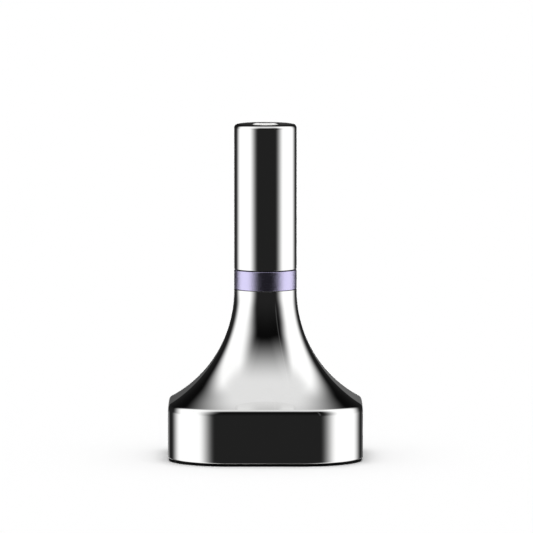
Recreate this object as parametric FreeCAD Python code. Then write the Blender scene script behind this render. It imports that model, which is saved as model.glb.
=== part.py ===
import FreeCAD, Part
import math
import os

# Airbrush holder stand, in millimetres. +Z is up, the foot rests on z = 0 and the post stands on the Z axis.
# One STEP file per piece. A clearance is the gap on each side, so a hole's radius is the shaft's plus it.

# Overall sizes
total_height = 120.0
base_width = 70.0
base_flat = 25.6          # straight stretch of each side of the foot, between its round corners
post_diameter = 22.5

# Foot: pad, adhesive and bottom plate
pad_thickness = 0.85
pad_inset = 0.35
pad_edge_radius = 0.3
adhesive_thickness = 0.15
adhesive_inset = 0.9
plate_thickness = 2.0
plate_clearance = 0.2

# Base casting
casting_height = 59.5     # from the rim of the foot to the top of the neck
side_height = 16.7        # upright side wall, from the rim to the start of the shoulder
shoulder_radius = 5.3     # slow lower part of the rounded shoulder
crown_radius = 1.6        # tight upper part of the shoulder, up to the flare
crown_angle = 20.0        # lean of the surface where the two parts of the shoulder meet
neck_collar = 0.2         # short straight stretch above the flare
rim_edge_radius = 0.4
neck_edge = 0.15
wall = 4.0
rim_wall = 2.0            # thinner wall around the recess of the bottom plate
cavity_height = 39.0      # from the rim to the roof of the cavity
boss_radius = 8.0
boss_length = 10.0
corner_boss_radius = 3.5
corner_boss_height = 11.0
corner_boss_inset = 2.5   # from the inner wall to the axis of a corner boss, along the diagonal
smallest_flat = 0.04      # the neck is round, and its section keeps this much flat for the loft

# Neck, ring and washers
spigot_length = 10.5
spigot_clearance = 0.1
lower_washer_thickness = 0.2
lower_washer_inset = 0.2
ring_height = 6.85
ring_top_edge = 0.3
ring_bottom_edge = 0.15
upper_washer_thickness = 0.4
upper_washer_inset = 0.3
o_ring_section = 1.4
o_ring_groove_gap = 0.25

# Post and socket
post_bore_diameter = 16.0
post_rim_radius = 1.3
post_bottom_edge = 0.15
socket_diameter = 10.0
socket_chamfer = 0.3
lip_thickness = 0.4
lip_step = 3.4            # height of the narrow stretch of the liner, under the lip
liner_spigot_diameter = 12.4
liner_clearance = 0.05
bumper_thickness = 3.0
bumper_hole_diameter = 3.0

# Post end plug
plug_length = 12.5
plug_gap = 0.5            # between the spigot and the plug, so that the ring takes the clamping load
plug_roof = 2.0
plug_slot_width = 2.0
plug_slot_depth = 1.5

# Stud, washers and nut, M8
stud_diameter = 8.0
stud_clearance = 0.25
stud_engagement = 8.2
stud_protrusion = 1.5
stud_edge = 0.6
washer_diameter = 16.0
washer_thickness = 1.6
spring_washer_diameter = 14.8
spring_washer_thickness = 2.2
spring_washer_gap = 1.2
spring_washer_cut_angle = 30.0
nut_across_flats = 13.0
nut_height = 6.5
nut_corner_edge = 0.5

# Counterweight and damping pad
weight_gap = 2.5          # to the flared wall of the cavity
weight_side_gap = 4.0     # to the upright wall of the cavity
weight_edge = 0.8
counterbore_clearance = 3.0
nut_recess = 0.2          # the nut ends this far inside the counterbore
damping_thickness = 3.0
damping_inset = 3.0
damping_hole_clearance = 1.0

# Countersunk screws, M3
screw_diameter = 3.0
screw_length = 8.0
screw_head_diameter = 5.6
screw_head_land = 0.25
screw_hole_clearance = 0.2
screw_tip_gap = 1.0
screw_recess_width = 0.6
screw_recess_length = 2.6
screw_recess_depth = 1.0

loft_sections = 13

# Heights and radii that follow from the sizes above
half_width = base_width / 2
corner_centre = base_flat / 2
post_radius = post_diameter / 2
post_bore_radius = post_bore_diameter / 2
socket_radius = socket_diameter / 2
stud_radius = stud_diameter / 2
stud_hole_radius = stud_radius + stud_clearance
spigot_radius = post_bore_radius - spigot_clearance

rim_z = pad_thickness + adhesive_thickness
plate_top_z = rim_z + plate_thickness
side_top_z = rim_z + side_height
roof_z = rim_z + cavity_height
weight_seat_z = roof_z - boss_length
neck_z = rim_z + casting_height
flare_top_z = neck_z - neck_collar
spigot_top_z = neck_z + spigot_length
ring_z = neck_z + lower_washer_thickness
ring_top_z = ring_z + ring_height
post_z = ring_top_z + upper_washer_thickness
lip_z = total_height - lip_thickness
liner_step_z = lip_z - lip_step
plug_z = spigot_top_z + plug_gap
plug_top_z = plug_z + plug_length
liner_z = plug_top_z + bumper_thickness
weight_z = plate_top_z + damping_thickness

# The stack of washers and nut hangs below the ceiling of the counterbore
stack_height = washer_thickness + spring_washer_thickness + nut_height
counterbore_z = weight_z + nut_recess + stack_height
spring_washer_z = counterbore_z - washer_thickness - spring_washer_thickness
nut_z = spring_washer_z - nut_height
stud_z = nut_z - stud_protrusion
stud_top_z = plug_z + stud_engagement
counterbore_radius = washer_diameter / 2 + counterbore_clearance

# The shoulder rises from the side wall on a slow arc, and a tight arc, its crown, takes over up to the flare.
crown_start = math.radians(crown_angle)
shoulder_centre = half_width - shoulder_radius
crown_centre = shoulder_centre + (shoulder_radius - crown_radius) * math.cos(crown_start)
crown_centre_z = side_top_z + (shoulder_radius - crown_radius) * math.sin(crown_start)

# The flare is one arc. It leaves the neck upright and meets the crown smoothly, leaning by crown_end there.
reach = crown_centre - post_radius
drop = flare_top_z - crown_centre_z
flare_radius = (drop**2 + reach**2 - crown_radius**2) / (2 * (reach + crown_radius))
flare_centre = post_radius + flare_radius
crown_end = math.acos((flare_centre - crown_centre) / (flare_radius + crown_radius))


def flat_at(width):
    """Half of the straight stretch of a section: none at the neck, the full stretch at the foot."""
    grown = (width - post_radius) / (half_width - post_radius)
    return max(corner_centre * grown, smallest_flat)


def rounded_square(width, flat, z):
    """Closed wire of a square of half width `width`, whose corners are arcs around (flat, flat)."""
    radius = width - flat
    middle = flat + radius * math.cos(math.pi / 4)
    spin = FreeCAD.Rotation(FreeCAD.Vector(0, 0, 1), 90)
    line_start = FreeCAD.Vector(width, -flat, z)
    line_end = FreeCAD.Vector(width, flat, z)
    arc_middle = FreeCAD.Vector(middle, middle, z)
    arc_end = FreeCAD.Vector(flat, width, z)
    edges = []
    for _ in range(4):
        edges.append(Part.makeLine(line_start, line_end))
        edges.append(Part.Arc(line_end, arc_middle, arc_end).toShape())
        line_start = spin.multVec(line_start)
        line_end = spin.multVec(line_end)
        arc_middle = spin.multVec(arc_middle)
        arc_end = spin.multVec(arc_end)
    return Part.Wire(edges)


def block(width, flat, bottom, top):
    """Upright rounded-square block."""
    face = Part.Face(rounded_square(width, flat, bottom))
    return face.extrude(FreeCAD.Vector(0, 0, top - bottom))


def cylinder(radius, bottom, top, x=0.0, y=0.0):
    return Part.makeCylinder(radius, top - bottom, FreeCAD.Vector(x, y, bottom))


def collar(outer, inner, bottom, top):
    return cylinder(outer, bottom, top).cut(cylinder(inner, bottom, top))


def turned(profile):
    """Solid of revolution around Z from a closed list of (radius, height) points."""
    points = [FreeCAD.Vector(radius, 0, height) for radius, height in profile]
    points.append(points[0])
    face = Part.Face(Part.makePolygon(points))
    return face.revolve(FreeCAD.Vector(0, 0, 0), FreeCAD.Vector(0, 0, 1), 360)


def flare_point(angle, inset):
    """Half width and height on the flare's arc, `inset` inside the outer skin."""
    width = flare_centre - (flare_radius + inset) * math.cos(angle)
    height = flare_top_z - (flare_radius + inset) * math.sin(angle)
    return width, height


def flare_angle_at_height(height, inset):
    return math.asin((flare_top_z - height) / (flare_radius + inset))


def flare_angle_at_width(width, inset):
    return math.acos((flare_centre - width) / (flare_radius + inset))


def steps(start, end, count):
    return [start + (end - start) * step / (count - 1) for step in range(count)]


def bell(inset, top_angle, bottom_angle):
    """Flared loft between two angles of the flare's arc, `inset` inside the outer skin."""
    wires = []
    for angle in steps(top_angle, bottom_angle, loft_sections):
        outer_width, _ = flare_point(angle, 0.0)
        width, height = flare_point(angle, inset)
        wires.append(rounded_square(width, flat_at(outer_width), height))
    return Part.makeLoft(wires, True)


def rounded_edge(centre, centre_z, radius, top_angle, bottom_angle):
    """Loft of a convex arc of the shoulder around (centre, centre_z), between two angles from level."""
    wires = []
    for angle in steps(top_angle, bottom_angle, loft_sections):
        width = centre + radius * math.cos(angle)
        height = centre_z + radius * math.sin(angle)
        wires.append(rounded_square(width, flat_at(width), height))
    return Part.makeLoft(wires, True)


def corner_places():
    """Axes of the four corner bosses, on the diagonals of the foot."""
    inner_radius = half_width - wall - corner_centre
    place = corner_centre + (inner_radius - corner_boss_inset) * math.cos(math.pi / 4)
    return [(place, place), (-place, place), (-place, -place), (place, -place)]


def outer_skin():
    side = block(half_width, corner_centre, rim_z, side_top_z)
    rim_edges = [edge for edge in side.Edges if edge.BoundBox.ZMax < rim_z + rim_edge_radius / 2]
    side = side.makeFillet(rim_edge_radius, rim_edges)
    shoulder = rounded_edge(shoulder_centre, side_top_z, shoulder_radius, crown_start, 0.0)
    crown = rounded_edge(crown_centre, crown_centre_z, crown_radius, crown_end, crown_start)
    flare = bell(0.0, 0.0, crown_end)
    neck = cylinder(post_radius, flare_top_z, neck_z)
    neck = neck.makeChamfer(neck_edge, [neck.Edges[0]])
    return side.fuse([shoulder, crown, flare, neck])


def cavity():
    inner_width = half_width - wall
    bottom_angle = flare_angle_at_width(inner_width, wall)
    top_angle = flare_angle_at_height(roof_z, wall)
    _, wall_top_z = flare_point(bottom_angle, wall)
    foot = block(inner_width, corner_centre, plate_top_z, wall_top_z)
    recess = block(half_width - rim_wall, corner_centre, rim_z - wall, plate_top_z)
    return bell(wall, top_angle, bottom_angle).fuse([foot, recess])


def spigot():
    groove_radius = post_bore_radius - o_ring_section - o_ring_groove_gap / 2
    groove_half = o_ring_section / 2 + o_ring_groove_gap
    middle = ring_z + ring_height / 2
    return turned([
        (stud_hole_radius, flare_top_z),
        (spigot_radius, flare_top_z),
        (spigot_radius, middle - groove_half),
        (groove_radius, middle - groove_half),
        (groove_radius, middle + groove_half),
        (spigot_radius, middle + groove_half),
        (spigot_radius, spigot_top_z - neck_edge),
        (spigot_radius - neck_edge, spigot_top_z),
        (stud_hole_radius, spigot_top_z),
    ])


def base_casting():
    skin = outer_skin()
    shell = skin.cut(cavity())
    shell = shell.fuse(cylinder(boss_radius, weight_seat_z, roof_z + wall / 2))
    for x, y in corner_places():
        boss = cylinder(corner_boss_radius, plate_top_z, plate_top_z + corner_boss_height, x, y)
        shell = shell.fuse(boss)
    shell = shell.fuse(spigot())
    shell = shell.cut(cylinder(stud_hole_radius, weight_seat_z, spigot_top_z))
    hole_top = rim_z + screw_length + screw_tip_gap
    for x, y in corner_places():
        shell = shell.cut(cylinder(screw_diameter / 2, plate_top_z, hole_top, x, y))
    return shell.removeSplitter()


def lower_ring_washer():
    return collar(post_radius - lower_washer_inset, post_bore_radius, neck_z, ring_z)


def upper_ring_washer():
    return collar(post_radius - upper_washer_inset, post_bore_radius, ring_top_z, post_z)


def accent_ring():
    return turned([
        (post_bore_radius, ring_z),
        (post_radius - ring_bottom_edge, ring_z),
        (post_radius, ring_z + ring_bottom_edge),
        (post_radius, ring_top_z - ring_top_edge),
        (post_radius - ring_top_edge, ring_top_z),
        (post_bore_radius, ring_top_z),
    ])


def ring_o_ring():
    section = o_ring_section / 2
    return Part.makeTorus(post_bore_radius - section, section, FreeCAD.Vector(0, 0, ring_z + ring_height / 2))


def post_tube():
    outside = cylinder(post_radius, post_z, total_height)
    top_edge = [edge for edge in outside.Edges if edge.BoundBox.ZMin > total_height - post_rim_radius]
    outside = outside.makeFillet(post_rim_radius, top_edge)
    bottom_edge = [edge for edge in outside.Edges if edge.BoundBox.ZMax < post_z + post_bottom_edge]
    outside = outside.makeChamfer(post_bottom_edge, bottom_edge)
    inside = turned([
        (0, post_z),
        (post_bore_radius, post_z),
        (post_bore_radius, liner_step_z),
        (liner_spigot_diameter / 2, liner_step_z),
        (liner_spigot_diameter / 2, lip_z),
        (socket_radius, lip_z),
        (socket_radius, total_height - socket_chamfer),
        (socket_radius + socket_chamfer, total_height),
        (0, total_height),
    ])
    return outside.cut(inside)


def socket_liner():
    body_radius = post_bore_radius - liner_clearance
    spigot_outside = liner_spigot_diameter / 2 - liner_clearance
    return turned([
        (socket_radius, liner_z),
        (body_radius, liner_z),
        (body_radius, liner_step_z),
        (spigot_outside, liner_step_z),
        (spigot_outside, lip_z),
        (socket_radius, lip_z),
    ])


def socket_bumper():
    return collar(post_bore_radius - liner_clearance, bumper_hole_diameter / 2, plug_top_z, liner_z)


def post_end_plug():
    body = cylinder(post_bore_radius, plug_z, plug_top_z)
    body = body.cut(cylinder(stud_radius, plug_z, plug_top_z - plug_roof))
    slot_corner = FreeCAD.Vector(-post_bore_radius, -plug_slot_width / 2, plug_z)
    return body.cut(Part.makeBox(post_bore_diameter, plug_slot_width, plug_slot_depth, slot_corner))


def tie_stud():
    return turned([
        (0, stud_z),
        (stud_radius - stud_edge, stud_z),
        (stud_radius, stud_z + stud_edge),
        (stud_radius, stud_top_z - stud_edge),
        (stud_radius - stud_edge, stud_top_z),
        (0, stud_top_z),
    ])


def counterweight():
    """Turned weight whose side follows the flare of the cavity at a constant gap."""
    inset = wall + weight_gap
    side_radius = half_width - wall - weight_side_gap
    bottom_angle = flare_angle_at_width(side_radius, inset)
    top_angle = flare_angle_at_height(weight_seat_z, inset)
    profile = [
        (counterbore_radius, weight_z),
        (side_radius - weight_edge, weight_z),
        (side_radius, weight_z + weight_edge),
    ]
    for angle in steps(bottom_angle, top_angle, loft_sections):
        profile.append(flare_point(angle, inset))
    profile.append((stud_hole_radius, weight_seat_z))
    profile.append((stud_hole_radius, counterbore_z))
    profile.append((counterbore_radius, counterbore_z))
    return turned(profile)


def clamp_washer():
    return collar(washer_diameter / 2, stud_hole_radius, counterbore_z - washer_thickness, counterbore_z)


def spring_washer():
    """Split lock washer, pressed flat, with a slanted cut."""
    ring = collar(spring_washer_diameter / 2, stud_hole_radius, spring_washer_z,
                  spring_washer_z + spring_washer_thickness)
    cut_height = spring_washer_thickness * 3
    corner = FreeCAD.Vector(0, -spring_washer_gap / 2, -cut_height / 2)
    cut = Part.makeBox(spring_washer_diameter, spring_washer_gap, cut_height, corner)
    cut.rotate(FreeCAD.Vector(0, 0, 0), FreeCAD.Vector(1, 0, 0), spring_washer_cut_angle)
    cut.translate(FreeCAD.Vector(0, 0, spring_washer_z + spring_washer_thickness / 2))
    return ring.cut(cut)


def clamp_nut():
    corner_radius = nut_across_flats / 2 / math.cos(math.pi / 6)
    corners = []
    for step in range(7):
        angle = step * math.pi / 3
        corners.append(FreeCAD.Vector(corner_radius * math.cos(angle), corner_radius * math.sin(angle), nut_z))
    prism = Part.Face(Part.makePolygon(corners)).extrude(FreeCAD.Vector(0, 0, nut_height))
    round_edge = turned([
        (stud_radius, nut_z),
        (corner_radius - 2 * nut_corner_edge, nut_z),
        (corner_radius, nut_z + nut_corner_edge),
        (corner_radius, nut_z + nut_height - nut_corner_edge),
        (corner_radius - 2 * nut_corner_edge, nut_z + nut_height),
        (stud_radius, nut_z + nut_height),
    ])
    return prism.common(round_edge)


def damping_pad():
    side_radius = half_width - wall - weight_side_gap
    hole_radius = counterbore_radius + damping_hole_clearance
    return collar(side_radius - damping_inset, hole_radius, plate_top_z, weight_z)


def screw_at(x, y):
    """Countersunk screw, driven upwards, with a cross recess in its head."""
    head_radius = screw_head_diameter / 2
    shank_radius = screw_diameter / 2
    cone_top = rim_z + screw_head_land + head_radius - shank_radius
    tip = rim_z + screw_length
    screw = turned([
        (0, rim_z),
        (head_radius, rim_z),
        (head_radius, rim_z + screw_head_land),
        (shank_radius, cone_top),
        (shank_radius, tip - shank_radius / 2),
        (shank_radius / 2, tip),
        (0, tip),
    ])
    for width, length in ((screw_recess_width, screw_recess_length), (screw_recess_length, screw_recess_width)):
        corner = FreeCAD.Vector(-width / 2, -length / 2, rim_z)
        screw = screw.cut(Part.makeBox(width, length, screw_recess_depth, corner))
    screw.translate(FreeCAD.Vector(x, y, 0))
    return screw


def plate_screws():
    return Part.makeCompound([screw_at(x, y) for x, y in corner_places()])


def bottom_plate():
    width = half_width - rim_wall - plate_clearance
    plate = block(width, corner_centre, rim_z, plate_top_z)
    hole_radius = screw_diameter / 2 + screw_hole_clearance
    head_radius = screw_head_diameter / 2
    cone_top = rim_z + screw_head_land + head_radius - hole_radius
    for x, y in corner_places():
        hole = turned([
            (0, rim_z),
            (head_radius, rim_z),
            (head_radius, rim_z + screw_head_land),
            (hole_radius, cone_top),
            (hole_radius, plate_top_z),
            (0, plate_top_z),
        ])
        hole.translate(FreeCAD.Vector(x, y, 0))
        plate = plate.cut(hole)
    return plate


def adhesive_sheet():
    return block(half_width - adhesive_inset, corner_centre, pad_thickness, rim_z)


def anti_slip_pad():
    pad = block(half_width - pad_inset, corner_centre, 0.0, pad_thickness)
    bottom_edges = [edge for edge in pad.Edges if edge.BoundBox.ZMax < pad_thickness / 2]
    return pad.makeFillet(pad_edge_radius, bottom_edges)


PIECES = [
    base_casting,
    lower_ring_washer,
    accent_ring,
    upper_ring_washer,
    ring_o_ring,
    post_tube,
    socket_liner,
    socket_bumper,
    post_end_plug,
    tie_stud,
    counterweight,
    clamp_washer,
    spring_washer,
    clamp_nut,
    damping_pad,
    bottom_plate,
    plate_screws,
    adhesive_sheet,
    anti_slip_pad,
]

os.makedirs("parts", exist_ok=True)
for piece in PIECES:
    shape = piece()
    shape.exportStep(f"parts/{piece.__name__}.step")
    print(f"{piece.__name__:20s} solids {len(shape.Solids)}  volume {shape.Volume:10.1f} mm3  valid {shape.isValid()}")
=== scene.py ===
import math

import bmesh
import bpy
from mathutils import Matrix, Vector


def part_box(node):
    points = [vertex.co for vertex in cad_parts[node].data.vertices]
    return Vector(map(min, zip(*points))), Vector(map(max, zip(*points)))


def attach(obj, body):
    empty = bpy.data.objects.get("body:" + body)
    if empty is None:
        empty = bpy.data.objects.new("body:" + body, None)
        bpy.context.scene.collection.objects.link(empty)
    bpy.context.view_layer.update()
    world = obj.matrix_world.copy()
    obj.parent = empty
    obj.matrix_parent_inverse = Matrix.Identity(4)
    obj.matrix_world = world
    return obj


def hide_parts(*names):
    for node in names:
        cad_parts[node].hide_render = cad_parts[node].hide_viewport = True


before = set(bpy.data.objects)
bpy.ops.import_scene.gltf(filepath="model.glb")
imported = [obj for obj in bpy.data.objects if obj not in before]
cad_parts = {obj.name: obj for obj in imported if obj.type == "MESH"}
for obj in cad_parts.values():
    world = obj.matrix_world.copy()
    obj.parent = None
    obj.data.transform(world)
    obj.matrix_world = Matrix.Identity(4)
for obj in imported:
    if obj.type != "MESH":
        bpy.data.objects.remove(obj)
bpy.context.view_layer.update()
scene = bpy.context.scene

# ---------------------------------------------------------------------------------------------------------
# 1. Bell casting. A heavy zinc casting that flares from a round neck into a rounded-square foot, hollow
# inside, with a spigot on top for the ring and post. The skin is machined, polished and mirror-chromed,
# and the inside is left as it comes out of the die.
# ---------------------------------------------------------------------------------------------------------
mm = 0.001

foot_low, foot_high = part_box("base_casting")
tube_low, tube_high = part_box("post_tube")
ring_low, ring_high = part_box("accent_ring")
plate_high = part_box("bottom_plate")[1]
weight_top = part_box("counterweight")[1][2]
neck_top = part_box("lower_ring_washer")[0][2]

half_width = foot_high[0]
corner_centre = 12.8 * mm        # the foot's corners are arcs around this point of each quadrant
post_radius = tube_high[0]
rim = foot_low[2]                # height of the bell's lower edge
side_height = 16.7 * mm
side_top = rim + side_height
shoulder_radius = 5.3 * mm
crown_radius = 1.6 * mm
crown_start = math.radians(20)
rim_edge = 0.4 * mm
neck_collar = 0.2 * mm
neck_edge = 0.05 * mm
wall = 4.0 * mm
plate_gap = 0.2 * mm
hollow_height = 39.0 * mm
roof = rim + hollow_height
boss_radius = 8.0 * mm
stud_hole = 4.25 * mm
spigot_radius = 7.9 * mm
groove_depth = 1.425 * mm
groove_half = 0.95 * mm

# The shoulder rises from the side wall on a slow arc, and a tight arc, its crown, takes over up to the flare.
# The flare is one arc that leaves the neck upright and meets the crown smoothly.
shoulder_centre = half_width - shoulder_radius
crown_centre = shoulder_centre + (shoulder_radius - crown_radius) * math.cos(crown_start)
crown_height = side_top + (shoulder_radius - crown_radius) * math.sin(crown_start)
flare_top = neck_top - neck_collar
reach = crown_centre - post_radius
drop = flare_top - crown_height
flare_radius = (drop**2 + reach**2 - crown_radius**2) / (2 * (reach + crown_radius))
flare_centre = post_radius + flare_radius
crown_end = math.acos((flare_centre - crown_centre) / (flare_radius + crown_radius))

points_around = 320
sharp_angle = math.radians(30)
arc_step = math.radians(4)


def spaced(start, end, count):
    return [start + (end - start) * step / count for step in range(count + 1)]


def flat_at(width):
    """Half of a section's straight stretch: none at the neck, the full stretch at the foot."""
    grown = (width - post_radius) / (half_width - post_radius)
    return corner_centre * min(max(grown, 0.0), 1.0)


def flare_section(angle, inset=0.0):
    """Section of the flare at an angle of its arc: half width, half flat and height."""
    outer_width = flare_centre - flare_radius * math.cos(angle)
    width = flare_centre - (flare_radius + inset) * math.cos(angle)
    return width, flat_at(outer_width), flare_top - (flare_radius + inset) * math.sin(angle)


def rounding(centre, height, radius, start, end):
    """Points of a rounded edge as (radius, height) pairs. The angles are from outwards, turning upwards."""
    angles = spaced(start, end, max(3, math.ceil(abs(end - start) / arc_step)))
    return [(centre + radius * math.cos(angle), height + radius * math.sin(angle)) for angle in angles]


def bottom_edge(radius, height, edge):
    """Rounded outer edge at the bottom of a piece, from its underside to its side."""
    return rounding(radius - edge, height + edge, edge, -math.pi / 2, 0.0)


def top_edge(radius, height, edge):
    """Rounded outer edge at the top of a piece, from its side to its top."""
    return rounding(radius - edge, height - edge, edge, 0.0, math.pi / 2)


def straight_side(radius, low, high, rows):
    """Points up a straight side, without its two ends."""
    return [(radius, height) for height in spaced(low, high, rows)[1:-1]]


def with_flat(profile, flat=0.0):
    """Sections from (half width, height) pairs that share one half flat. With none they are round."""
    return [(width, flat, height) for width, height in profile]


def section_point(width, flat, height, share):
    """Point of a rounded square at a share of the way round it, with even spacing."""
    quarter, place = divmod(share * 4, 1)
    corner = width - flat
    arc = corner * math.pi / 2
    run = place * (2 * flat + arc) - flat
    if run <= flat:
        x, y = width, run
    elif run <= flat + arc:
        angle = (run - flat) / corner
        x, y = flat + corner * math.cos(angle), flat + corner * math.sin(angle)
    else:
        x, y = 2 * flat + arc - run, width
    turn = quarter * math.pi / 2
    return Vector((x * math.cos(turn) - y * math.sin(turn), x * math.sin(turn) + y * math.cos(turn), height))


def sectioned(name, sections, materials, around=points_around, inner=(), capped=False):
    """Piece skinned over sections, each a half width, half flat and height. They run round and back to the
    first, or are capped at both ends. Faces from the sections numbered in inner take the second material."""
    mesh = bpy.data.meshes.new(name)
    build = bmesh.new()
    rings = []
    for width, flat, height in sections:
        shares = [step / around for step in range(around)]
        rings.append([build.verts.new(section_point(width, flat, height, share)) for share in shares])
    following_rings = rings[1:] if capped else rings[1:] + rings[:1]
    for number, (ring, following) in enumerate(zip(rings, following_rings)):
        for step in range(around):
            next_step = (step + 1) % around
            face = build.faces.new((ring[step], ring[next_step], following[next_step], following[step]))
            face.material_index = 1 if number in inner else 0
    if capped:
        build.faces.new(rings[0])
        build.faces.new(rings[-1])
    bmesh.ops.recalc_face_normals(build, faces=build.faces)
    build.to_mesh(mesh)
    build.free()
    mesh.shade_smooth()
    mesh.set_sharp_from_angle(angle=sharp_angle)
    for material in materials:
        mesh.materials.append(material)
    piece = bpy.data.objects.new(name, mesh)
    scene.collection.objects.link(piece)
    return piece


def node_in(tree, kind, **settings):
    """New shader node in a tree, with its settings."""
    made = tree.nodes.new(kind)
    for name, value in settings.items():
        setattr(made, name, value)
    return made


def feed(tree, source, socket):
    """Feeds a socket from another node's socket, or sets it to a plain value."""
    if isinstance(source, bpy.types.NodeSocket):
        tree.links.new(source, socket)
    else:
        socket.default_value = source


def maths(tree, operation, *values):
    """Result of one operation on sockets or plain values."""
    made = node_in(tree, "ShaderNodeMath", operation=operation)
    for socket, value in zip(made.inputs, values):
        feed(tree, value, socket)
    return made.outputs[0]


def ramp(tree, value, start, end, low=0.0, high=1.0):
    """Goes smoothly from low to high as value goes from start to end."""
    made = node_in(tree, "ShaderNodeMapRange", interpolation_type="SMOOTHSTEP")
    sockets = {"Value": value, "From Min": start, "From Max": end, "To Min": low, "To Max": high}
    for name, given in sockets.items():
        feed(tree, given, made.inputs[name])
    return made.outputs["Result"]


def noise(tree, place, scale, detail=2.0, roughness=0.5, stretch=(1.0, 1.0, 1.0)):
    """Noise of so many blobs to a metre, and stretch times as many along each axis."""
    stretched = node_in(tree, "ShaderNodeMapping")
    feed(tree, place, stretched.inputs["Vector"])
    stretched.inputs["Scale"].default_value = stretch
    made = node_in(tree, "ShaderNodeTexNoise")
    feed(tree, stretched.outputs["Vector"], made.inputs["Vector"])
    for name, given in {"Scale": scale, "Detail": detail, "Roughness": roughness}.items():
        feed(tree, given, made.inputs[name])
    return made.outputs["Fac"]


def new_group(name, inputs, outputs):
    """Shader node group with number inputs, each with its default, and number outputs. Returns its tree and
    the nodes that give its inputs and take its outputs."""
    group = bpy.data.node_groups.new(name, "ShaderNodeTree")
    for label, value in inputs.items():
        socket = group.interface.new_socket(label, in_out="INPUT", socket_type="NodeSocketFloat")
        socket.default_value = value
    for label in outputs:
        group.interface.new_socket(label, in_out="OUTPUT", socket_type="NodeSocketFloat")
    return group, node_in(group, "NodeGroupInput"), node_in(group, "NodeGroupOutput")


def place_group(tree, group, **values):
    """Places a node group in a material, with its own values, and returns the group's outputs."""
    placed = node_in(tree, "ShaderNodeGroup", node_tree=group)
    for label, value in values.items():
        feed(tree, value, placed.inputs[label.capitalize()])
    return placed.outputs


def object_place(tree):
    return node_in(tree, "ShaderNodeTexCoord").outputs["Object"]


# Handling marks: faint wiping streaks, finger smudges and dust that a shiny surface picks up.
handling, given, result = new_group("handling_marks", {"Size": 120.0, "Dust": 0.5}, ("Smudge", "Dust"))
spot = object_place(handling)
wiped = noise(handling, spot, given.outputs["Size"], detail=4.0, roughness=0.6, stretch=(1.0, 1.0, 0.25))
smudge = ramp(handling, wiped, 0.45, 0.75)
specks = noise(handling, spot, 5200.0, detail=0.0)
dust = maths(handling, "MULTIPLY", ramp(handling, specks, 0.80, 0.86), given.outputs["Dust"])
feed(handling, smudge, result.inputs["Smudge"])
feed(handling, dust, result.inputs["Dust"])

# Cast grain: the pebbled skin that metal takes from the mould, and its pores.
casting, given, result = new_group("cast_grain", {"Grains": 900.0, "Pores": 0.3}, ("Height", "Stain"))
spot = object_place(casting)
pebbles = noise(casting, spot, given.outputs["Grains"], detail=6.0, roughness=0.65)
pores = ramp(casting, noise(casting, spot, 420.0, detail=1.0), 0.62, 0.72)
hollows = maths(casting, "MULTIPLY", pores, given.outputs["Pores"])
feed(casting, maths(casting, "SUBTRACT", pebbles, hollows), result.inputs["Height"])
feed(casting, noise(casting, spot, 60.0, detail=5.0, roughness=0.6), result.inputs["Stain"])


def material_of(name, colour, metallic, roughness):
    """New material with plain values on its shader. Returns the material, its tree and its shader."""
    made = bpy.data.materials.new(name)
    made.use_nodes = True
    shader = made.node_tree.nodes["Principled BSDF"]
    shader.inputs["Base Color"].default_value = (*colour, 1.0)
    shader.inputs["Metallic"].default_value = metallic
    shader.inputs["Roughness"].default_value = roughness
    return made, made.node_tree, shader


def bump(tree, shader, height, depth):
    """Raises the surface by depth where height is one."""
    made = node_in(tree, "ShaderNodeBump")
    made.inputs["Strength"].default_value = 1.0
    made.inputs["Distance"].default_value = depth
    feed(tree, height, made.inputs["Height"])
    feed(tree, made.outputs["Normal"], shader.inputs["Normal"])


def two_tone(tree, shader, factor, low, high, socket="Base Color"):
    """Colour that goes from low to high with factor."""
    made = node_in(tree, "ShaderNodeMix", data_type="RGBA")
    feed(tree, factor, made.inputs["Factor"])
    made.inputs["A"].default_value = (*low, 1.0)
    made.inputs["B"].default_value = (*high, 1.0)
    feed(tree, made.outputs["Result"], shader.inputs[socket])


def dull(tree, shader, mask, clean, added):
    """Roughness that is at clean, and goes up by added where the mask shows."""
    feed(tree, maths(tree, "MULTIPLY_ADD", mask, added, clean), shader.inputs["Roughness"])


def vary_roughness(tree, shader, pattern, smoothest, roughest):
    """Roughness that follows a pattern, over the middle of the pattern's range."""
    feed(tree, ramp(tree, pattern, 0.3, 0.7, smoothest, roughest), shader.inputs["Roughness"])


def mirror_chrome(name, ripple):
    """Polished chrome plating. The polishing wheel leaves a slow ripple, and handling dulls it in places."""
    made, tree, shader = material_of(name, (0.9, 0.9, 0.9), metallic=1.0, roughness=0.015)
    marks = place_group(tree, handling, size=90.0, dust=0.35)
    smudged = maths(tree, "MULTIPLY_ADD", marks["Smudge"], 0.02, 0.012)
    dull(tree, shader, marks["Dust"], clean=smudged, added=0.25)
    two_tone(tree, shader, marks["Smudge"], (0.905, 0.905, 0.9), (0.885, 0.885, 0.88))
    bump(tree, shader, noise(tree, object_place(tree), 70.0, detail=1.0), ripple)
    return made


casting_chrome = mirror_chrome("casting_chrome", ripple=0.004 * mm)
raw_casting, tree, shader = material_of("raw_casting", (0.42, 0.42, 0.43), metallic=1.0, roughness=0.5)
grain = place_group(tree, casting, grains=900.0, pores=0.4)
two_tone(tree, shader, grain["Stain"], (0.34, 0.34, 0.35), (0.52, 0.52, 0.53))
vary_roughness(tree, shader, grain["Height"], 0.42, 0.65)
bump(tree, shader, grain["Height"], 0.08 * mm)

inner_width = half_width - wall
inner_foot_angle = math.acos((flare_centre - inner_width) / (flare_radius + wall))
inner_roof_angle = math.asin((flare_top - roof) / (flare_radius + wall))
recess_width = plate_high[0] + plate_gap
ring_middle = (ring_low[2] + ring_high[2]) / 2
side_rows = 6
flare_rows = 84
inside_rows = 24

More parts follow.
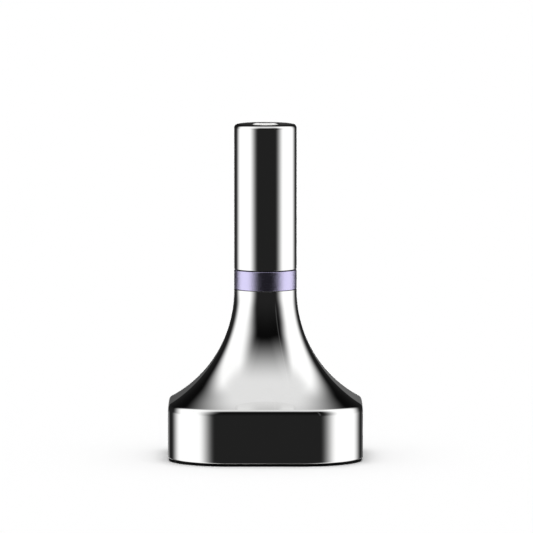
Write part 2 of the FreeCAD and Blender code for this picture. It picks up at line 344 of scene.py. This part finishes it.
inside = with_flat([(stud_hole, weight_top), (boss_radius, weight_top), (boss_radius, roof)])
inside += [flare_section(angle, wall) for angle in spaced(inner_roof_angle, inner_foot_angle, inside_rows)]
recess = [(inner_width, plate_high[2]), (recess_width, plate_high[2]), (recess_width, rim)]
inside += with_flat(recess, corner_centre)

upright = bottom_edge(half_width, rim, rim_edge)
upright += straight_side(half_width, rim + rim_edge, side_top, side_rows)
outside = with_flat(upright, corner_centre)
shoulder = rounding(shoulder_centre, side_top, shoulder_radius, 0.0, crown_start)
crown = rounding(crown_centre, crown_height, crown_radius, crown_start, crown_end)[1:]
outside += [(width, flat_at(width), height) for width, height in shoulder + crown]
outside += [flare_section(angle) for angle in spaced(crown_end, 0.0, flare_rows)[1:]]
outside += with_flat(top_edge(post_radius, neck_top, neck_edge))

spigot = [
    (spigot_radius, neck_top),
    (spigot_radius, ring_middle - groove_half),
    (spigot_radius - groove_depth, ring_middle - groove_half),
    (spigot_radius - groove_depth, ring_middle + groove_half),
    (spigot_radius, ring_middle + groove_half),
]
spigot += top_edge(spigot_radius, foot_high[2], neck_edge)
spigot += [(stud_hole, foot_high[2])]

sections = inside + outside + with_flat(spigot)
bell = sectioned("bell_casting", sections, (casting_chrome, raw_casting), inner=range(len(inside) - 1))
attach(bell, "root")
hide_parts("base_casting")

# Four bosses stand inside the bell's corners, tapped for the screws of the bottom plate.
boss_height = 11.0 * mm
screw_boss_radius = 3.5 * mm
tapped_radius = 1.5 * mm
tapped_height = 9.0 * mm
boss_inset = 2.5 * mm            # from the corner's inner skin to the screw's axis
boss_place = corner_centre + (inner_width - corner_centre - boss_inset) * math.cos(math.pi / 4)

tapped_boss = with_flat([
    (tapped_radius, rim + tapped_height),
    (tapped_radius, plate_high[2]),
    (screw_boss_radius, plate_high[2]),
    (screw_boss_radius, plate_high[2] + boss_height),
])
for number, (x, y) in enumerate(((1, 1), (-1, 1), (-1, -1), (1, -1)), start=1):
    boss = sectioned(f"screw_boss_{number}", tapped_boss, (raw_casting,), around=48, capped=True)
    boss.data.transform(Matrix.Translation((x * boss_place, y * boss_place, 0.0)))
    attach(boss, "root")
    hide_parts("base_casting")

# ---------------------------------------------------------------------------------------------------------
# 2. O-ring. A nitrile rubber ring in the spigot's groove. It centres the accent ring and stops it rattling.
# Moulded, with a smooth matt skin.
# ---------------------------------------------------------------------------------------------------------


def coat(node, material):
    """Gives a CAD node its finish."""
    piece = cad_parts[node]
    piece.data.materials.clear()
    piece.data.materials.append(material)


bloom_gain = 2.2
bloom_lift = 0.004


def black_rubber(name, colour, roughness, pebble_size, pebble_depth, gloss=0.25):
    """Moulded black rubber: a fine pebbled skin with paler bloom and dust on it."""
    made, tree, shader = material_of(name, colour, metallic=0.0, roughness=roughness)
    shader.inputs["Specular IOR Level"].default_value = gloss
    pebbles = noise(tree, object_place(tree), 1 / pebble_size, detail=3.0, roughness=0.55)
    marks = place_group(tree, handling, size=160.0, dust=0.6)
    bloom = maths(tree, "MAXIMUM", maths(tree, "MULTIPLY", marks["Smudge"], 0.3), marks["Dust"])
    two_tone(tree, shader, bloom, colour, [tone * bloom_gain + bloom_lift for tone in colour])
    vary_roughness(tree, shader, pebbles, roughness - 0.08, roughness + 0.12)
    bump(tree, shader, pebbles, pebble_depth)
    return made


nitrile = black_rubber(
    "nitrile_rubber", (0.012, 0.012, 0.013), roughness=0.45, pebble_size=0.15 * mm, pebble_depth=0.008 * mm
)
coat("ring_o_ring", nitrile)

# ---------------------------------------------------------------------------------------------------------
# 3. Ring washers. Two thin black acetal washers, punched from sheet. One lies between the bell's neck and the
# accent ring and one between the ring and the post, and they show as fine dark seams.
# ---------------------------------------------------------------------------------------------------------
washer_edge = 0.05 * mm
stack_bore = 8.0 * mm            # the washers, the ring and the tube all slide over the spigot

acetal, tree, shader = material_of("black_acetal", (0.004, 0.004, 0.0045), metallic=0.0, roughness=0.55)
shader.inputs["Specular IOR Level"].default_value = 0.2
sheet_grain = noise(tree, object_place(tree), 2600.0, detail=3.0, roughness=0.6, stretch=(1.0, 1.0, 0.3))
two_tone(tree, shader, sheet_grain, (0.003, 0.003, 0.0035), (0.007, 0.007, 0.008))
vary_roughness(tree, shader, sheet_grain, 0.48, 0.62)
bump(tree, shader, sheet_grain, 0.006 * mm)

for name, node in (("lower_seam_washer", "lower_ring_washer"), ("upper_seam_washer", "upper_ring_washer")):
    low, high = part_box(node)
    profile = [(stack_bore, low[2])]
    profile += bottom_edge(high[0], low[2], washer_edge)
    profile += top_edge(high[0], high[2], washer_edge)
    profile += [(stack_bore, high[2])]
    washer = sectioned(name, with_flat(profile), (acetal,))
    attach(washer, "root")
    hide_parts(node)

# ---------------------------------------------------------------------------------------------------------
# 4. Accent ring. Turned from aluminium bar, bead-blasted to a satin skin and anodised lavender. The lathe's
# lines still show through the blasting. Its edges are broken by small roundings.
# ---------------------------------------------------------------------------------------------------------
ring_top_edge = 0.3 * mm
ring_bottom_edge = 0.15 * mm
ring_rows = 6

# Turned lines: the fine grooves a lathe leaves, round the side and round the end faces alike.
turning, given, result = new_group("turned_lines", {"Lines": 4000.0}, ("Height",))
spot = node_in(turning, "ShaderNodeSeparateXYZ")
feed(turning, object_place(turning), spot.inputs[0])
x_squared = maths(turning, "POWER", spot.outputs["X"], 2.0)
y_squared = maths(turning, "POWER", spot.outputs["Y"], 2.0)
squares = maths(turning, "ADD", x_squared, y_squared)
from_axis = node_in(turning, "ShaderNodeCombineXYZ")
feed(turning, maths(turning, "SQRT", squares), from_axis.inputs["X"])
feed(turning, spot.outputs["Z"], from_axis.inputs["Z"])
grooves = noise(turning, from_axis.outputs[0], given.outputs["Lines"], detail=2.0, roughness=0.6)
feed(turning, grooves, result.inputs["Height"])

lavender = (0.640, 0.600, 0.858)
anodising, tree, shader = material_of("lavender_anodising", lavender, metallic=1.0, roughness=0.17)
lines = place_group(tree, turning, lines=5200.0)
marks = place_group(tree, handling, size=140.0, dust=0.3)
blasting = noise(tree, object_place(tree), 8000.0, detail=1.0, roughness=0.5)
dye = maths(tree, "MULTIPLY_ADD", lines["Height"], 0.5, maths(tree, "MULTIPLY", marks["Smudge"], 0.3))
two_tone(tree, shader, dye, (0.655, 0.615, 0.872), (0.610, 0.570, 0.835))
dull(tree, shader, marks["Dust"], clean=0.22, added=0.2)
bump(tree, shader, maths(tree, "MULTIPLY_ADD", lines["Height"], 0.25, blasting), 0.033 * mm)

profile = [(stack_bore, ring_low[2])]
profile += bottom_edge(post_radius, ring_low[2], ring_bottom_edge)
side_low = ring_low[2] + ring_bottom_edge
side_high = ring_high[2] - ring_top_edge
profile += straight_side(post_radius, side_low, side_high, ring_rows)
profile += top_edge(post_radius, ring_high[2], ring_top_edge)
profile += [(stack_bore, ring_high[2])]
accent = sectioned("lavender_ring", with_flat(profile), (anodising,))
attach(accent, "root")
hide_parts("accent_ring")

# ---------------------------------------------------------------------------------------------------------
# 5. Post tube. Thick-walled tube, turned, polished and mirror-chromed. Its top end is closed down to a thin
# lip around the socket, with a full rounding outside and a small chamfer inside.
# ---------------------------------------------------------------------------------------------------------
liner_low, liner_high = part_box("socket_liner")
post_rim_radius = 1.3 * mm
post_bottom_edge = 0.05 * mm
socket_radius = 5.0 * mm
socket_chamfer = 0.3 * mm
liner_neck = 6.2 * mm
liner_neck_length = 3.4 * mm
liner_step = liner_high[2] - liner_neck_length
post_top = tube_high[2]
post_rows = 24

tube_chrome = mirror_chrome("tube_chrome", ripple=0.002 * mm)
raw_tube, tree, shader = material_of("bored_steel", (0.45, 0.45, 0.46), metallic=1.0, roughness=0.32)
lines = place_group(tree, turning, lines=2600.0)
two_tone(tree, shader, lines["Height"], (0.36, 0.36, 0.37), (0.54, 0.54, 0.55))
bump(tree, shader, lines["Height"], 0.02 * mm)

bored = [
    (liner_neck, liner_high[2]),
    (liner_neck, liner_step),
    (stack_bore, liner_step),
    (stack_bore, tube_low[2]),
]
profile = bored + bottom_edge(post_radius, tube_low[2], post_bottom_edge)
side_low = tube_low[2] + post_bottom_edge
side_high = post_top - post_rim_radius
profile += straight_side(post_radius, side_low, side_high, post_rows)
profile += top_edge(post_radius, post_top, post_rim_radius)
profile += [
    (socket_radius + socket_chamfer, post_top),
    (socket_radius, post_top - socket_chamfer),
    (socket_radius, liner_high[2]),
]
post = sectioned("chrome_post", with_flat(profile), (tube_chrome, raw_tube), inner=range(len(bored) - 1))
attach(post, "root")
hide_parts("post_tube")

# ---------------------------------------------------------------------------------------------------------
# 6. Socket liner. White nylon bush, moulded, pushed into the tube from below up to the lip. The airbrush's
# air inlet stands in it without scratching. It is given a painted glow, light of its own, so the socket's
# mouth reads white.
# ---------------------------------------------------------------------------------------------------------
liner_gap = 0.05 * mm
liner_rows = 16

nylon, tree, shader = material_of("white_nylon_painted_glow", (0.90, 0.90, 0.89), metallic=0.0, roughness=0.35)
# Painted glow: a weak emission makes the liner light its own inside, though it is no lamp.
shader.inputs["Emission Strength"].default_value = 0.25
cloud = noise(tree, object_place(tree), 300.0, detail=3.0, roughness=0.6)
marks = place_group(tree, handling, size=200.0, dust=0.3)
two_tone(tree, shader, marks["Smudge"], (0.92, 0.92, 0.91), (0.86, 0.86, 0.84))
# The painted glow's colour varies a little with the cloud pattern.
two_tone(tree, shader, cloud, (0.95, 0.95, 0.93), (1.0, 1.0, 1.0), "Emission Color")
vary_roughness(tree, shader, cloud, 0.3, 0.42)
bump(tree, shader, cloud, 0.01 * mm)

profile = [
    (socket_radius, liner_low[2]),
    (liner_high[0], liner_low[2]),
    (liner_high[0], liner_step),
    (liner_neck - liner_gap, liner_step),
    (liner_neck - liner_gap, liner_high[2]),
    (socket_radius, liner_high[2]),
]
profile += straight_side(socket_radius, liner_high[2], liner_low[2], liner_rows)
liner = sectioned("nylon_liner", with_flat(profile), (nylon,))
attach(liner, "root")
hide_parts("socket_liner")

# ---------------------------------------------------------------------------------------------------------
# 7. Socket bumper and end plug. The bumper is a soft rubber disc, the floor of the socket. The plug is turned
# from steel and screwed into the tube's lower end, and it takes the tie stud.
# ---------------------------------------------------------------------------------------------------------
soft_rubber = black_rubber(
    "bumper_rubber", (0.02, 0.02, 0.021), roughness=0.6, pebble_size=0.25 * mm, pebble_depth=0.02 * mm
)
coat("socket_bumper", soft_rubber)


def turned_steel(name, low, high, lines_per_metre, depth):
    """Machined steel with lathe lines, and slightly uneven in colour."""
    made, tree, shader = material_of(name, high, metallic=1.0, roughness=0.3)
    lines = place_group(tree, turning, lines=lines_per_metre)
    marks = place_group(tree, handling, size=110.0, dust=0.5)
    two_tone(tree, shader, lines["Height"], low, high)
    dull(tree, shader, marks["Smudge"], clean=0.26, added=0.14)
    bump(tree, shader, lines["Height"], depth)
    return made


plug_steel = turned_steel(
    "turned_steel", (0.42, 0.42, 0.43), (0.60, 0.60, 0.61), lines_per_metre=3000.0, depth=0.02 * mm
)
coat("post_end_plug", plug_steel)

# ---------------------------------------------------------------------------------------------------------
# 8. Stud, washers and nut. Stock M8 hardware in zinc plating. The stud pulls the post, the ring, the bell and
# the counterweight together, and the split washer keeps the nut from working loose.
# ---------------------------------------------------------------------------------------------------------


def zinc_plating(name, depth):
    """Clear-passivated zinc: pale blue grey with cloudy yellow patches, and a fine crystal grain."""
    made, tree, shader = material_of(name, (0.66, 0.67, 0.68), metallic=1.0, roughness=0.34)
    clouds = noise(tree, object_place(tree), 240.0, detail=4.0, roughness=0.6)
    crystals = noise(tree, object_place(tree), 3200.0, detail=2.0, roughness=0.5)
    two_tone(tree, shader, ramp(tree, clouds, 0.4, 0.7), (0.62, 0.65, 0.69), (0.71, 0.69, 0.60))
    vary_roughness(tree, shader, crystals, 0.28, 0.42)
    bump(tree, shader, crystals, depth)
    return made


plated = zinc_plating("zinc_plating", depth=0.008 * mm)
for node in ("tie_stud", "clamp_washer", "spring_washer", "clamp_nut"):
    coat(node, plated)

# ---------------------------------------------------------------------------------------------------------
# 9. Counterweight. Grey iron, cast close to the bell's inner shape and then turned. It fills the bell and
# keeps the stand upright with a heavy airbrush in it.
# ---------------------------------------------------------------------------------------------------------
iron, tree, shader = material_of("grey_iron", (0.12, 0.12, 0.12), metallic=1.0, roughness=0.55)
grain = place_group(tree, casting, grains=1300.0, pores=0.6)
lines = place_group(tree, turning, lines=1800.0)
two_tone(tree, shader, grain["Stain"], (0.09, 0.09, 0.09), (0.19, 0.175, 0.165))
vary_roughness(tree, shader, grain["Height"], 0.45, 0.7)
bump(tree, shader, maths(tree, "MULTIPLY_ADD", lines["Height"], 0.6, grain["Height"]), 0.05 * mm)
coat("counterweight", iron)

# ---------------------------------------------------------------------------------------------------------
# 10. Damping pad. Soft rubber disc pressed between the counterweight and the bottom plate, so that nothing
# rings or rattles.
# ---------------------------------------------------------------------------------------------------------
damping_rubber = black_rubber(
    "damping_rubber", (0.016, 0.016, 0.017), roughness=0.7, pebble_size=0.3 * mm, pebble_depth=0.03 * mm
)
coat("damping_pad", damping_rubber)

# ---------------------------------------------------------------------------------------------------------
# 11. Bottom plate and screws. The plate is laser-cut steel with a brushed face, let into the bell's rim. Four
# countersunk M3 screws hold it to the corner bosses.
# ---------------------------------------------------------------------------------------------------------
brushed, tree, shader = material_of("brushed_plate", (0.55, 0.55, 0.56), metallic=1.0, roughness=0.34)
strokes = noise(tree, object_place(tree), 1400.0, detail=4.0, roughness=0.65, stretch=(0.03, 1.0, 1.0))
marks = place_group(tree, handling, size=60.0, dust=0.5)
two_tone(tree, shader, strokes, (0.43, 0.43, 0.44), (0.65, 0.65, 0.66))
dull(tree, shader, marks["Smudge"], clean=0.3, added=0.15)
bump(tree, shader, strokes, 0.01 * mm)
coat("bottom_plate", brushed)
coat("plate_screws", zinc_plating("screw_plating", depth=0.005 * mm))

# ---------------------------------------------------------------------------------------------------------
# 12. Adhesive sheet and anti-slip pad. A die-cut double-sided sheet holds the pad over the rim and the plate.
# The pad is black silicone, moulded with a fine pebble, rounded at its lower edge and set in from the rim.
# ---------------------------------------------------------------------------------------------------------
glue, tree, shader = material_of("acrylic_adhesive", (0.75, 0.72, 0.62), metallic=0.0, roughness=0.5)
fibres = noise(tree, object_place(tree), 900.0, detail=5.0, roughness=0.7, stretch=(0.2, 1.0, 1.0))
two_tone(tree, shader, fibres, (0.68, 0.65, 0.55), (0.80, 0.77, 0.68))
vary_roughness(tree, shader, fibres, 0.42, 0.6)
bump(tree, shader, fibres, 0.01 * mm)
coat("adhesive_sheet", glue)

pad_low, pad_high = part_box("anti_slip_pad")
pad_edge = 0.3 * mm
pad_centre_width = 0.5 * mm
pad_rows = 10

silicone_black = (0.0025, 0.0025, 0.0026)
silicone = black_rubber(
    "black_silicone", silicone_black, roughness=0.7, pebble_size=0.35 * mm, pebble_depth=0.02 * mm, gloss=0.06
)


def across_pad(height):
    """Sections of a flat face of the pad, from its centre to its edge."""
    widths = spaced(pad_centre_width, pad_high[0] - pad_edge, pad_rows)
    return [(width, corner_centre * width / pad_high[0], height) for width in widths]


underside = across_pad(pad_low[2])[:-1]
side = bottom_edge(pad_high[0], pad_low[2], pad_edge)
side += [(pad_high[0], pad_high[2])]
topside = across_pad(pad_high[2])[::-1]
sections = underside + with_flat(side, corner_centre) + topside
sole = sectioned("silicone_sole", sections, (silicone,), capped=True)
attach(sole, "root")
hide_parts("anti_slip_pad")

# ---------------------------------------------------------------------------------------------------------
# 13. Floor. A wide white paper sweep, seen directly but not in the metal. Well to the left and right of the
# stand it is painted a light grey, a painted shade standing in for the light falling off there.
# ---------------------------------------------------------------------------------------------------------
floor_radius = 6.0
painted_shade_start = 0.25                # metres to either side of the stand
painted_shade_end = 1.6
paper_white = (0.93, 0.93, 0.93)
painted_shade_grey = (0.60, 0.60, 0.60)

floor_mesh = bpy.data.meshes.new("floor")
paper = bmesh.new()
bmesh.ops.create_circle(paper, cap_ends=True, segments=96, radius=floor_radius)
paper.to_mesh(floor_mesh)
paper.free()
floor = bpy.data.objects.new("floor", floor_mesh)
floor_paper, tree, shader = material_of("floor_paper", paper_white, metallic=0.0, roughness=0.9)
shader.inputs["Specular IOR Level"].default_value = 0.0
spot = node_in(tree, "ShaderNodeSeparateXYZ")
feed(tree, object_place(tree), spot.inputs[0])
sideways = maths(tree, "ABSOLUTE", spot.outputs["X"])
# Painted shade: the paper darkens to grey away from the stand, in place of light falling off.
two_tone(tree, shader, ramp(tree, sideways, painted_shade_start, painted_shade_end), paper_white, painted_shade_grey)
floor.data.materials.append(floor_paper)
floor.visible_glossy = False
scene.collection.objects.link(floor)

# ---------------------------------------------------------------------------------------------------------
# 14. Studio light. Two tall side panels and a grey ceiling, all with soft edges, in a dark room. Mirror metal
# shows them as its bands, with the bright floor behind at its far edges. The floor is lit by a white sky that
# is strongest overhead, so that the foot's shadow stays short.
# ---------------------------------------------------------------------------------------------------------
world = bpy.data.worlds.new("studio")
scene.world = world
world.use_nodes = True
studio = world.node_tree
studio.nodes.clear()


def degrees(radians):
    """An angle from the node maths, in degrees."""
    return maths(studio, "MULTIPLY", radians, 180 / math.pi)


def times(first, second):
    return maths(studio, "MULTIPLY", first, second)


def opposite(share):
    """What is left of one."""
    return maths(studio, "SUBTRACT", 1.0, share)


# A ray that leaves the stand has a turn, from 0 at the front to 180 straight behind on either side, and a
# height above the bench. Both are in degrees.
split = node_in(studio, "ShaderNodeSeparateXYZ")
feed(studio, node_in(studio, "ShaderNodeTexCoord").outputs["Generated"], split.inputs[0])
across, along, up = split.outputs
height = degrees(maths(studio, "ARCSINE", up))
turn = degrees(maths(studio, "ARCTAN2", maths(studio, "ABSOLUTE", across), times(along, -1.0)))
on_right = maths(studio, "GREATER_THAN", across, 0.0)


def by_turn(start, end, low=0.0, high=1.0):
    return ramp(studio, turn, start, end, low, high)


def by_height(start, end, low=0.0, high=1.0):
    return ramp(studio, height, start, end, low, high)


def by_side(left, right):
    """One value to the left of the stand and another to its right."""
    return maths(studio, "MULTIPLY_ADD", on_right, right - left, left)


# A little above the bench the panels are narrower at both edges, by a few degrees.
lean = by_height(0.0, 40.0)
back_narrowing = times(by_height(-6.0, 2.0), opposite(lean))
back_turn = maths(studio, "MULTIPLY_ADD", back_narrowing, by_side(6.5, 3.0), turn)
front_narrowing = times(by_height(-3.0, 12.0), by_height(36.0, 20.0))
front_turn = maths(studio, "MULTIPLY_ADD", front_narrowing, by_side(-2.9, -4.5), turn)


def leaning(turn_at_bench, turn_higher_up):
    """Turn of a panel's edge that leans over as it rises."""
    return maths(studio, "MULTIPLY_ADD", lean, turn_higher_up - turn_at_bench, turn_at_bench)


panel_softness = 1.5


def panel(front_start, front_end, back_start, back_end):
    """Upright light panel beside the stand. Each value is a pair of turns: at bench height and 40 degrees
    higher. The panel brightens from front_start to front_end and fades from back_start to back_end."""
    front = ramp(studio, front_turn, leaning(*front_start), leaning(*front_end))
    back = ramp(studio, back_turn, leaning(*back_start), leaning(*back_end), 1.0, 0.0)
    return maths(studio, "POWER", times(front, back), panel_softness)


left_panel = panel(front_start=(25, 10), front_end=(62, 72), back_start=(106, 114), back_end=(141, 151))
right_panel = panel(front_start=(34, 37), front_end=(71, 76), back_start=(114, 120), back_end=(150, 157))
sides = node_in(studio, "ShaderNodeMix", data_type="FLOAT")
feed(studio, on_right, sides.inputs["Factor"])
feed(studio, left_panel, sides.inputs["A"])
feed(studio, right_panel, sides.inputs["B"])
panel_light = times(sides.outputs["Result"], by_height(56.0, 80.0, 1.0, 0.0))

ceiling_strength = 0.73
room_at_bench = 0.0145
room_higher_up = 0.003
ceiling_light = by_height(34.0, 80.0, 0.0, ceiling_strength)
unlit = times(opposite(panel_light), opposite(ceiling_light))
room_light = by_height(0.0, 34.0, room_at_bench, room_higher_up)

# A thin strip of light stands on the right, beside the front edge of the panel.
strip_middle = 36.0
strip_half = 3.0
strip_strength = 0.045
strip_off = maths(studio, "ABSOLUTE", maths(studio, "SUBTRACT", turn, strip_middle))
strip = times(ramp(studio, strip_off, 0.0, strip_half, strip_strength, 0.0), on_right)
strip_light = times(strip, by_height(2.0, 14.0))

# The bright floor shows at the foot of the back wall, with a greyer strip of the wall straight behind the
# stand. Underneath, the metal sees its own shadow on the floor.
floor_behind = 0.8
wall_behind = 0.125
floor_underneath = 0.08
shaded = times(times(by_turn(145.0, 168.0), by_height(1.0, -18.0, 0.0, floor_behind)), by_side(1.0, 0.5))
far_wall = times(times(by_turn(170.0, 174.5), by_height(6.0, 1.5, 0.0, wall_behind)), by_side(0.65, 1.0))
below = maths(studio, "MAXIMUM", far_wall, by_height(-30.0, -80.0, 0.0, floor_underneath))
floor_light = maths(studio, "MAXIMUM", shaded, below)

wall_light = maths(studio, "ADD", opposite(unlit), maths(studio, "ADD", room_light, strip_light))
seen_in_metal = maths(studio, "MAXIMUM", wall_light, floor_light)

# Light that the metal throws on to the floor is held back, so that the shadow stays clean.
metal_strength = 1.12
ray = node_in(studio, "ShaderNodeLightPath")
after_floor = maths(studio, "GREATER_THAN", ray.outputs["Diffuse Depth"], 0.5)
metal_light = node_in(studio, "ShaderNodeBackground")
feed(studio, seen_in_metal, metal_light.inputs["Color"])
held_back = maths(studio, "MULTIPLY_ADD", after_floor, -metal_strength, metal_strength)
feed(studio, held_back, metal_light.inputs["Strength"])

sky_low_down = 0.25
sky_overhead = 6.35
sky_light = node_in(studio, "ShaderNodeBackground")
sky_light.inputs["Color"].default_value = (1.0, 1.0, 1.0, 1.0)
feed(studio, by_height(50.0, 90.0, sky_low_down, sky_overhead), sky_light.inputs["Strength"])

chosen = node_in(studio, "ShaderNodeMixShader")
feed(studio, ray.outputs["Is Glossy Ray"], chosen.inputs[0])
feed(studio, sky_light.outputs[0], chosen.inputs[1])
feed(studio, metal_light.outputs[0], chosen.inputs[2])
surface = node_in(studio, "ShaderNodeOutputWorld")
feed(studio, chosen.outputs[0], surface.inputs["Surface"])

# ---------------------------------------------------------------------------------------------------------
# 15. Camera. A long lens far in front of the stand and a little above it, so that the upright edges stay
# parallel and the mouth of the socket shows as a thin ellipse.
# ---------------------------------------------------------------------------------------------------------
camera_distance = 3.384
camera_elevation = math.radians(5.35)
camera_target = Vector((0.0, 0.0, 0.060))
camera_aim = Vector((0.0004, 0.0, 0.0686))

camera = bpy.data.objects.new("camera", bpy.data.cameras.new("camera"))
camera.data.lens = 635.0
camera.data.sensor_width = 36.0
camera_back = Vector((0.0, -math.cos(camera_elevation), math.sin(camera_elevation)))
camera.location = camera_target + camera_back * camera_distance
camera.rotation_euler = (camera_aim - camera.location).to_track_quat("-Z", "Y").to_euler()
scene.collection.objects.link(camera)
scene.camera = camera
scene.view_settings.view_transform = "Standard"
